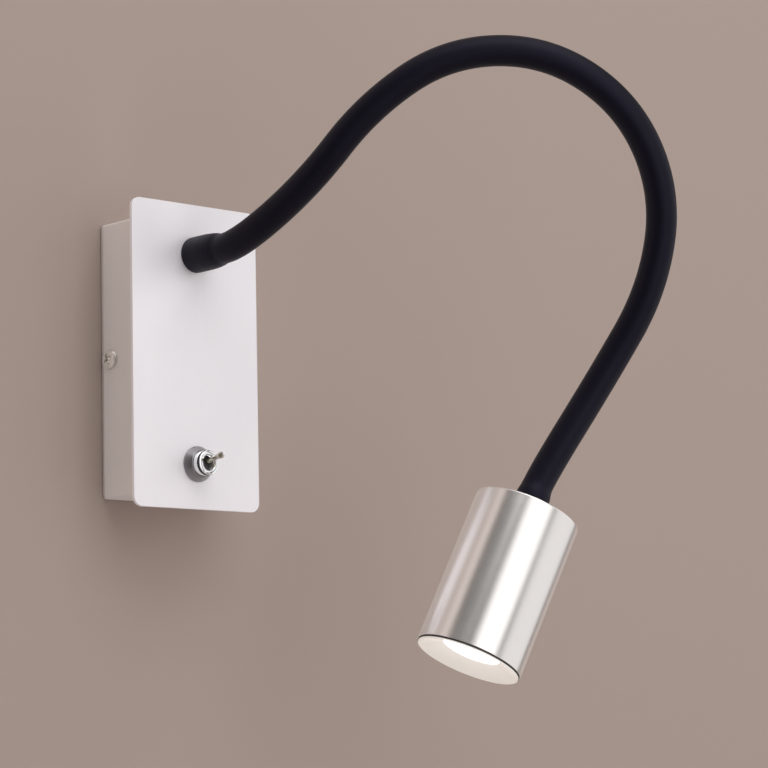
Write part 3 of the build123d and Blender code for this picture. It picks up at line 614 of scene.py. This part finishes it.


# Near-black for the lever's ball: painted shade of the hole that the ball sits in.
def ball_painted_shade():
    return satin_metal("ball_painted_shade", (0.035, 0.035, 0.035), 0.3, grain=0.3, streak=0.0, metallic=0.6)


def lever_metal():
    return satin_metal("lever_metal", (0.52, 0.49, 0.42), 0.14, WALL_UNIT, grain=0.6, streak=0.3)


def screw_nickel():
    return satin_metal("screw_nickel", (0.76, 0.74, 0.70), 0.14, grain=0.4, streak=0.0)


def zinc():
    return satin_metal("zinc_steel", (0.62, 0.63, 0.64), 0.36, grain=1.0, streak=0.6)


def raw_aluminium():
    return satin_metal("raw_aluminium", (0.74, 0.75, 0.76), 0.3, HEAD, ROUND, grain=0.5, streak=0.8)


def terminal_brass():
    return satin_metal("terminal_brass", (0.72, 0.62, 0.38), 0.28, grain=0.6, streak=0.3)


def sleeve_black():
    look = {"tone": 0.15, "scale": 1400, "depth": 0.00002, "specular": 0.2, "specular_rgb": (0.78, 0.72, 1.0)}
    return moulded("sleeve_black", colours().sleeve, 0.5, **look)


# Near-black for the ring at the head's mouth: painted shadow of the gap between shell and insert.
def painted_gap_shadow():
    return moulded("painted_gap_shadow", (0.012, 0.010, 0.009), 0.6, scale=1400)


def reflector_white():
    return moulded("reflector_white", colours().reflector, 0.32, tone=0.02, scale=1200, depth=0.000004)


def lens_glow():
    return moulded("lens_glow", (0.9, 0.9, 0.88), 0.4, tone=0.01, glow=4.5)


# ---- Pieces -------------------------------------------------------------------------------------------


class LampOperator(bpy.types.Operator):
    """What all the lamp's operators share"""

    bl_options = {"REGISTER", "UNDO"}

    def execute(self, context):
        self.make(context)
        return {"FINISHED"}


class LAMP_OT_front_plate(LampOperator):
    """Front plate: satin sheet with rounded corners and the two holes for arm and switch"""

    bl_idname = "lamp.front_plate"
    bl_label = "Front plate"

    def make(self, context):
        s = sizes()
        middle = Vector((0, -s.box_depth - s.plate_thickness / 2, s.plate_rise))
        size = (s.plate_width, s.plate_thickness, s.plate_height)
        plate = block("plate_skin", size, Matrix.Translation(middle), s.plate_corner, 10, axis=1)
        for up in (ARM_ROOT.z, s.switch_up):
            bpy.ops.mesh.primitive_cylinder_add(
                vertices=48, radius=HOLE_RADIUS, depth=0.01, location=(0, middle.y, up), rotation=(math.pi / 2, 0, 0)
            )
            cut(plate, context.object)
        round_edges(plate, PLATE_EDGE, 2, 60)
        shade(plate)
        finish(plate, "wall_unit", plate_nickel(), "nickel_satin_plate", "front_plate")


class LAMP_OT_wall_box(LampOperator):
    """Wall box: folded tray, open at the wall, with rounded folds"""

    bl_idname = "lamp.wall_box"
    bl_label = "Wall box"

    def make(self, context):
        s = sizes()
        clear_selection()
        bpy.ops.mesh.primitive_cube_add(size=1, location=(0, -s.box_depth / 2, 0))
        box = name_new("box_skin")
        box.scale = (s.box_width, s.box_depth, s.box_height)
        bake_place(box)
        self.open_back(box)
        modify(box, "SOLIDIFY", thickness=s.box_wall, offset=-1, use_even_offset=True)
        round_edges(box, RIM_EDGE, 2, 60)
        shade(box)
        finish(box, "wall_unit", box_nickel(), "nickel_satin_box", "box_shell")

    def open_back(self, box):
        """Rounds the folds and takes out the face at the wall."""
        s = sizes()
        select_edges(box, lambda one, other: min(one.y, other.y) < -s.box_wall)
        bpy.ops.mesh.bevel(offset=s.box_edge, segments=5, affect="EDGES")
        bpy.ops.mesh.select_all(action="DESELECT")
        bpy.ops.object.mode_set(mode="OBJECT")
        for face in box.data.polygons:
            face.select = face.normal.y > 0.9
        bpy.ops.object.mode_set(mode="EDIT")
        bpy.ops.mesh.select_mode(type="FACE")
        bpy.ops.mesh.delete(type="FACE")
        bpy.ops.object.mode_set(mode="OBJECT")


class LAMP_OT_side_screws(LampOperator):
    """Side screws: domed heads with a cross recess, one each side of the box"""

    bl_idname = "lamp.side_screws"
    bl_label = "Side screws"

    def make(self, context):
        s = sizes()
        screws = []
        for side in (-1, 1):
            place = Matrix.Translation((side * s.box_width / 2, -SCREW_OUT, 0))
            place = place @ Matrix(((0, 0, side), (0, -side, 0), (1, 0, 0))).to_4x4()
            screws.append(self.screw(place))
        clear_selection()
        for screw in screws:
            screw.select_set(True)
        context.view_layer.objects.active = screws[0]
        bpy.ops.object.join()
        finish(screws[0], "wall_unit", screw_nickel(), "bright_screw", "side_screws")

    def screw(self, place):
        profile = [
            (0, -SCREW_SHANK),
            (0.0020, -SCREW_SHANK),
            (0.0020, 0),
            (0.0040, 0),
            (0.0040, 0.0004),
            (0.00375, 0.0009),
            (0.0030, 0.0013),
            (0.0020, 0.00148),
            (0.0010, 0.00155),
            (0, 0.00157),
        ]
        screw = turned("side_screw_heads", profile, Matrix.Identity(4), SMALL_SIDES)
        for turn in (SCREW_TURN, SCREW_TURN + math.pi / 2):
            slot_place = Matrix.Rotation(turn, 4, "Z") @ Matrix.Translation((0, 0, 0.0016))
            cut(screw, block("recess", (0.0046, 0.00105, 0.0022), slot_place))
        round_edges(screw, 0.00008, 2, 50)
        shade(screw)
        return bake_place(screw, place)


class LAMP_OT_switch(LampOperator):
    """Toggle switch: coned nut, chromed neck with a flared mouth, and the lever in its ball seat"""

    bl_idname = "lamp.switch"
    bl_label = "Toggle switch"

    def make(self, context):
        s = sizes()
        face = s.box_depth + s.plate_thickness
        base = WALL_UNIT @ Matrix.Translation((0, s.switch_up, 0))
        self.nut(base @ Matrix.Translation((0, 0, face)))
        self.neck(base, face)
        pivot = base @ Matrix.Translation((0, 0, face + NECK_PROUD - LEVER_PIVOT_DEPTH))
        self.lever(pivot @ Matrix.Rotation(-s.lever_tilt, 4, "X"))

    def nut(self, place):
        profile = [
            (0.00505, 0),
            (0.0070, 0),
            (0.0070, 0.0007),
            (0.0056, 0.0031),
            (0.0053, 0.0034),
            (0.00505, 0.0034),
            (0.00505, 0),
        ]
        nut = turned("dress_nut", profile, Matrix.Identity(4), MEDIUM_SIDES)
        for turn in (NUT_NICK, NUT_NICK + math.pi):
            nick_place = Matrix.Rotation(turn, 4, "Z") @ Matrix.Translation((0.0071, 0, 0))
            cut(nut, block("nick", (0.0010, 0.0009, 0.004), nick_place))
        round_edges(nut, 0.0001, 2, 40)
        shade(nut)
        bake_place(nut, place)
        finish(nut, "wall_unit", nut_steel(), "grey_satin_nut", "switch_dress_nut")

    def neck(self, base, face):
        """Plain bright barrel, a band of thread let into it, painted near-black for the shade and dark reflections
        of its fine grooves, and a bright front ring round the mouth.
        """
        top = face + NECK_PROUD
        start = face - 0.0033
        profile = [
            (0.00258, start),
            (0.0050, start),
            (0.0050, top - 0.0020),
            (0.0047, top - 0.00185),
            (0.0045, top - 0.0018),
            (0.0045, top - 0.0005),
            (0.00485, top - 0.00045),
            (0.0048, top - 0.0002),
            (0.00445, top),
            (0.0032, top),
            (0.0029, top - 0.0004),
            (0.0021, top - LEVER_PIVOT_DEPTH + 0.0015),
            (0.00258, top - LEVER_PIVOT_DEPTH),
            (0.00258, start),
        ]
        neck = turned("switch_neck_chrome", profile, base, MEDIUM_SIDES, edge=0.00008)
        finish(neck, "wall_unit", bright_chrome(), "chrome", "switch_neck")
        low, high = top - 0.00175, top - 0.0005
        pitch = (high - low) / 4
        thread = [(0.0044, low)]
        for turn in range(4):
            thread += [(0.0045, low + turn * pitch), (0.00492, low + (turn + 0.5) * pitch)]
        thread += [(0.0045, high), (0.0044, high), (0.0044, low)]
        band = turned("neck_thread", thread, base, MEDIUM_SIDES)
        finish(band, "wall_unit", thread_painted_shade(), "grey_satin_nut")

    def lever(self, place):
        """Round lever, flared to its notched tip, on the ball that sits in the neck; the ball's near-black is
        painted shade of the hole in the neck.
        """
        angles = [math.pi * step / 12 for step in range(2, 11)]
        round_part = [(BALL_RADIUS * math.sin(angle), -BALL_RADIUS * math.cos(angle)) for angle in angles]
        profile = [(0, -0.0032), (0.0009, -0.0032)] + round_part + [(0, 0.00225)]
        ball = turned("lever_ball", profile, place, SMALL_SIDES)
        finish(ball, "switch_toggle", ball_painted_shade(), "grey_satin_nut")
        tip = LEVER_TIP
        profile = [
            (0, 0.0015),
            (0.00100, 0.0015),
            (0.00095, 0.0060),
            (0.00098, 0.0090),
            (0.00122, tip - 0.0014),
            (0.00132, tip - 0.0004),
            (0.00120, tip),
            (0, tip),
        ]
        lever = turned("toggle_lever", profile, Matrix.Identity(4), SMALL_SIDES)
        notch_place = Matrix.Translation((0, 0, tip)) @ Matrix.Rotation(TIP_TURN, 4, "Z")
        notch_place = notch_place @ Matrix.Rotation(math.pi / 4, 4, "X")
        cut(lever, block("notch", (0.005, 0.0012, 0.0012), notch_place))
        round_edges(lever, 0.00007, 2, 50)
        shade(lever)
        bake_place(lever, place)
        finish(lever, "switch_toggle", lever_metal(), "lever_nickel", "switch_lever")


class LAMP_OT_arm(LampOperator):
    """Arm: one unbroken black sleeve, made in five lengths that each run across one flexing point"""

    bl_idname = "lamp.arm"
    bl_label = "Flexible arm"

    def make(self, context):
        for index, run in enumerate(FLEX_RUNS):
            sleeve = self.length(index, run)
            sleeve.data.materials.clear()
            sleeve.data.materials.append(sleeve_black())
            ends = [STRETCHES[index]] if index < len(FLEX_RUNS) - 1 else list(STRETCHES[-2:])
            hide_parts(*["sleeve_" + end for end in ends])
            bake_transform(sleeve)

    def length(self, index, run):
        """A length from the middle of one stretch to the middle of the next."""
        first, last = run - 1, run + 2
        points = [ARM_ROUTE[run], ARM_ROUTE[run + 1]]
        if index == 0:
            leave = ARM_ROUTE[0] + (ARM_ROUTE[1] - ARM_ROUTE[0]).normalized() * STRAIGHT_OUT
            points = [ARM_ROUTE[0], leave] + points
        else:
            points = [(ARM_ROUTE[first] + ARM_ROUTE[run]) / 2] + points
        if index == len(FLEX_RUNS) - 1:
            enter = ARM_ROUTE[-1] - (ARM_ROUTE[-1] - ARM_ROUTE[-2]).normalized() * STRAIGHT_IN
            points += [enter, ARM_ROUTE[-1]]
        else:
            points += [(ARM_ROUTE[run + 1] + ARM_ROUTE[last]) / 2]
        return self.sweep("arm_sleeve_" + str(index + 1), points)

    def sweep(self, name, points):
        s = sizes()
        clear_selection()
        bpy.ops.curve.primitive_nurbs_path_add()
        line = name_new(name)
        line.data.splines.clear()
        spline = line.data.splines.new("NURBS")
        spline.points.add(len(points) - 1)
        for knot, point in zip(spline.points, points):
            knot.co = (*point, 1)
        spline.order_u = 3
        spline.use_endpoint_u = True
        spline.resolution_u = 24
        line.data.dimensions = "3D"
        line.data.twist_mode = "MINIMUM"
        line.data.bevel_depth = s.sleeve_diameter / 2
        line.data.bevel_resolution = ROUND_SIDES // 2 - 2
        line.data.use_fill_caps = False
        bpy.ops.object.convert(target="MESH")
        tube = name_new(name)
        self.stretch_over(tube, ARM_ROUTE[0], s.base_collar, BASE_STRETCH)
        self.stretch_over(tube, ARM_ROUTE[-1], s.tip_collar, TIP_STRETCH)
        tidy_mesh(tube)
        modify(tube, "SOLIDIFY", thickness=s.sleeve_wall, offset=-1)
        return shade(tube)

    def stretch_over(self, tube, end, diameter, steps):
        """Widens the rings near an end of the arm, where the sleeve is stretched over its ferrule."""
        reach = steps[-1][0]
        extra = diameter / sizes().sleeve_diameter - 1
        for start in range(0, len(tube.data.vertices), ROUND_SIDES):
            ring = range(start, start + ROUND_SIDES)
            middle = sum((tube.data.vertices[index].co for index in ring), Vector()) / ROUND_SIDES
            away = (middle - end).length
            if away >= reach:
                continue
            for (near, part), (far, next_part) in zip(steps, steps[1:]):
                if near <= away < far:
                    share = part + (next_part - part) * (away - near) / (far - near)
            bpy.ops.object.mode_set(mode="EDIT")
            bpy.ops.mesh.select_mode(type="VERT")
            bpy.ops.mesh.select_all(action="DESELECT")
            bpy.ops.object.mode_set(mode="OBJECT")
            for index in ring:
                tube.data.vertices[index].select = True
            bpy.ops.object.mode_set(mode="EDIT")
            growth = 1 + share * extra
            bpy.ops.transform.resize(value=(growth, growth, growth), center_override=middle)
            bpy.ops.object.mode_set(mode="OBJECT")


class LAMP_OT_head(LampOperator):
    """Spot head: turned nickel shell, white insert with its shallow cone, and the glowing lens"""

    bl_idname = "lamp.head"
    bl_label = "Spot head"

    def make(self, context):
        s = sizes()
        outer, long = s.head_diameter / 2, s.head_length
        inner = outer - SHELL_WALL
        joint = long - JOINT_DEPTH
        shell = [
            (ARM_HOLE, 0),
            (outer - 0.0006, 0),
            (outer - 0.00018, 0.00018),
            (outer, 0.0006),
            (outer, joint - 0.00012),
            (outer - 0.00012, joint),
            (inner, joint),
            (inner, SHELL_FLOOR),
            (ARM_HOLE, SHELL_FLOOR),
            (ARM_HOLE, 0),
        ]
        shell = turned("head_shell_nickel", shell, HEAD, FINE_SIDES, edge=0.00015)
        finish(shell, "head", head_nickel(), "nickel_satin_head", "head_shell")
        self.insert(outer - RIM_INSET, inner, long)
        # Near-black ring between the shell's end and the insert's rim: painted shadow of the gap at the mouth.
        shadow_ring = [
            (inner - 0.0001, joint - 0.0002),
            (outer - 0.00030, joint - 0.0002),
            (outer - 0.00030, long - 0.00055),
            (inner - 0.0001, long - 0.00055),
            (inner - 0.0001, joint - 0.0002),
        ]
        shadow_ring = turned("mouth_joint", shadow_ring, HEAD, FINE_SIDES)
        finish(shadow_ring, "head", painted_gap_shadow(), "arm_black")
        lens = [
            (0, long - 0.0070),
            (0.0124, long - 0.0070),
            (0.0124, long - 0.0051),
            (0.0110, long - 0.0049),
            (0.0075, long - 0.0044),
            (0.0040, long - 0.0041),
            (0, long - 0.0040),
        ]
        lens = turned("lens_dome", lens, HEAD, MEDIUM_SIDES)
        finish(lens, "head", lens_glow(), "lens_lit", "lens")

    def insert(self, rim, inner, long):
        """White insert: rim, shallow cone down to the lens, and the spigot that holds it in the shell."""
        profile = [
            (THROAT_RADIUS, long - 0.0050),
            (THROAT_RADIUS, long - THROAT_DEPTH),
            (rim - 0.00056, long - 0.00003),
            (rim - 0.00045, long),
            (rim - 0.0001, long),
            (rim - 0.00003, long - 0.00003),
            (rim, long - 0.0001),
            (rim, long - 0.0006),
            (inner - 0.00005, long - 0.0006),
            (inner - 0.00005, long - 0.0096),
            (LENS_BORE, long - 0.0096),
            (LENS_BORE, long - 0.0050),
            (THROAT_RADIUS, long - 0.0050),
        ]
        insert = turned("reflector_insert", profile, HEAD, FINE_SIDES)
        finish(insert, "head", reflector_white(), "reflector_white", "reflector")


class LAMP_OT_hidden_parts(LampOperator):
    """Inner parts: the construction's own shapes with their finishes"""

    bl_idname = "lamp.hidden_parts"
    bl_label = "Inner parts"

    def make(self, context):
        finishes = {
            "wall_bracket": zinc,
            "entry_bushing": lambda: moulded("bushing_nylon", (0.03, 0.03, 0.034), 0.5),
            "earth_lug": terminal_brass,
            "earth_screw": screw_nickel,
            "switch_body": lambda: moulded("switch_phenolic", (0.22, 0.06, 0.03), 0.4),
            "switch_blades": terminal_brass,
            "switch_lock_washer": zinc,
            "led_driver": lambda: moulded("driver_case", (0.78, 0.78, 0.76), 0.45),
            "driver_pad": foam,
            "terminal_pad": foam,
            "terminal_block": lambda: moulded("block_nylon", (0.74, 0.72, 0.64), 0.4),
            "terminal_inserts": terminal_brass,
            "terminal_screws": screw_nickel,
            "line_wire": wire_brown,
            "switched_wire": wire_brown,
            "neutral_wire": lambda: moulded("wire_blue", (0.03, 0.10, 0.45), 0.35),
            "earth_wire": lambda: moulded("wire_green", (0.12, 0.35, 0.06), 0.35),
            "output_wires": wire_white,
            "head_cores": wire_white,
            "arm_base_washer": zinc,
            "arm_base_nut": zinc,
            "head_washer": zinc,
            "head_nut": zinc,
            "heatsink": raw_aluminium,
            "led_board": lambda: moulded("board_white", (0.8, 0.8, 0.78), 0.4),
            "led_chip": lambda: moulded("chip_phosphor", (0.8, 0.6, 0.15), 0.5),
            "board_screws": screw_nickel,
            "lens_spacer": lambda: moulded("spacer_nylon", (0.03, 0.03, 0.034), 0.5),
            "base_ferrule": terminal_brass,
            "tip_ferrule": terminal_brass,
        }
        for stretch in STRETCHES:
            finishes["spine_" + stretch] = zinc
            finishes["lead_" + stretch] = lambda: moulded("lead_jacket", (0.3, 0.3, 0.3), 0.45)
        for node, material in finishes.items():
            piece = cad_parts[node]
            piece.data.materials.clear()
            piece.data.materials.append(material())


def foam():
    return moulded("foam_tape", (0.16, 0.16, 0.17), 0.8, tone=0.2, scale=2500, depth=0.00005)


def wire_brown():
    return moulded("wire_brown", (0.14, 0.05, 0.02), 0.35)


def wire_white():
    return moulded("wire_white", (0.75, 0.75, 0.72), 0.35)


# ---- Stage --------------------------------------------------------------------------------------------


def one_sided(name, rgb, roughness=0.9):
    """A plain backdrop colour that can be seen through from behind."""
    material, tree, shader, vector = new_material(name)
    shader.inputs["Roughness"].default_value = roughness
    shader.inputs["Base Color"].default_value = (*rgb, 1)
    side = add(tree, "ShaderNodeNewGeometry")
    facing = add(tree, "ShaderNodeMath", operation="SUBTRACT")
    facing.inputs[0].default_value = 1.0
    tree.links.new(side.outputs["Backfacing"], facing.inputs[1])
    tree.links.new(facing.outputs["Value"], shader.inputs["Alpha"])
    return material


class LAMP_OT_stage(LampOperator):
    """Stage: plain wall and floor, soft lamps, and the photograph's camera"""

    bl_idname = "lamp.stage"
    bl_label = "Stage and camera"

    def make(self, context):
        self.backdrop()
        self.lamps()
        self.world(context)
        self.camera(context)
        context.scene.view_settings.view_transform = "Standard"

    def backdrop(self):
        for name, place, turn, paint in (
            ("stage_wall", (0, WALL_GAP, 0), (math.pi / 2, 0, 0), colours().backdrop),
            ("stage_floor", (0, -2.0, -1.0), (0, 0, 0), colours().floor),
        ):
            clear_selection()
            bpy.ops.mesh.primitive_plane_add(size=STAGE_SIZE, location=place, rotation=turn)
            plane = name_new(name)
            bake_place(plane)
            plane.data.materials.append(one_sided(name + "_paint", paint))

    def softbox(self, name, up, right, size, power):
        """A flat soft lamp, placed by its angles above and right of the camera, seen from the lamp."""
        back = Vector((-math.sin(CAMERA_AZIMUTH), -math.cos(CAMERA_AZIMUTH), 0))
        way = Matrix.Rotation(math.radians(right), 3, "Z") @ back
        way = (way * math.cos(math.radians(up)) + Vector((0, 0, math.sin(math.radians(up))))).normalized()
        clear_selection()
        bpy.ops.object.light_add(type="AREA", location=STAGE_MIDDLE + way * LAMP_DISTANCE)
        lamp = name_new(name)
        lamp.rotation_euler = way.to_track_quat("Z", "Y").to_euler()
        lamp.data.shape = "RECTANGLE"
        lamp.data.size, lamp.data.size_y = size
        lamp.data.energy = power
        lamp.visible_camera = False

    def lamps(self):
        for settings in SOFTBOXES:
            self.softbox(*settings)
        for settings in WALL_GLOWS:
            self.wall_glow(*settings)

    def wall_glow(self, name, across, out, width, power):
        """A faint glow of the wall, from a place across it, that the head's far sides mirror."""
        clear_selection()
        place = (across, -out, GLOW_MIDDLE)
        bpy.ops.object.light_add(type="AREA", location=place, rotation=(-math.pi / 2, 0, 0))
        lamp = name_new(name)
        lamp.data.shape = "RECTANGLE"
        lamp.data.size, lamp.data.size_y = width, GLOW_HEIGHT
        lamp.data.energy = power
        lamp.visible_camera = False

    def world(self, context):
        world = bpy.data.worlds.new("stage_world")
        context.scene.world = world
        world.use_nodes = True
        tree = world.node_tree
        tree.nodes.clear()
        out = add(tree, "ShaderNodeOutputWorld")
        light = add(tree, "ShaderNodeBackground")
        light.inputs["Color"].default_value = (*WORLD_RGB, 1)
        light.inputs["Strength"].default_value = WORLD_STRENGTH
        tree.links.new(light.outputs["Background"], out.inputs["Surface"])

    def camera(self, context):
        look = Vector(
            (
                math.sin(CAMERA_AZIMUTH) * math.cos(CAMERA_ELEVATION),
                math.cos(CAMERA_AZIMUTH) * math.cos(CAMERA_ELEVATION),
                math.sin(CAMERA_ELEVATION),
            )
        )
        right = look.cross(Vector((0, 0, 1))).normalized()
        up = right.cross(look)
        turned_right = right * math.cos(CAMERA_ROLL) + up * math.sin(CAMERA_ROLL)
        turned_up = up * math.cos(CAMERA_ROLL) - right * math.sin(CAMERA_ROLL)
        clear_selection()
        bpy.ops.object.camera_add()
        camera = name_new("photo_camera")
        pose = Matrix((turned_right, turned_up, -look)).transposed().to_4x4()
        camera.matrix_world = Matrix.Translation(CAMERA_PLACE) @ pose
        camera.data.sensor_width = CAMERA_SENSOR
        camera.data.lens = CAMERA_LENS
        camera.data.clip_start = 0.01
        context.scene.camera = camera


class LAMP_PT_panel(bpy.types.Panel):
    """Sidebar panel that lists the lamp's operators"""

    bl_idname = "LAMP_PT_panel"
    bl_label = "Reading lamp"
    bl_space_type = "VIEW_3D"
    bl_region_type = "UI"
    bl_category = "Reading lamp"

    def draw(self, context):
        for operator in PIECES:
            self.layout.operator(operator.bl_idname)


PIECES = (
    LAMP_OT_front_plate,
    LAMP_OT_wall_box,
    LAMP_OT_side_screws,
    LAMP_OT_switch,
    LAMP_OT_arm,
    LAMP_OT_head,
    LAMP_OT_hidden_parts,
    LAMP_OT_stage,
)
CLASSES = (LampSizes, LampColours) + PIECES + (LAMP_PT_panel,)


def register():
    for kind in CLASSES:
        bpy.utils.register_class(kind)
    bpy.types.Scene.lamp_sizes = PointerProperty(type=LampSizes)
    bpy.types.Scene.lamp_colours = PointerProperty(type=LampColours)


def unregister():
    del bpy.types.Scene.lamp_colours
    del bpy.types.Scene.lamp_sizes
    for kind in reversed(CLASSES):
        bpy.utils.unregister_class(kind)


def main():
    register()
    for piece in PIECES:
        group, name = piece.bl_idname.split(".")
        getattr(getattr(bpy.ops, group), name)()


if __name__ == "__main__":
    main()
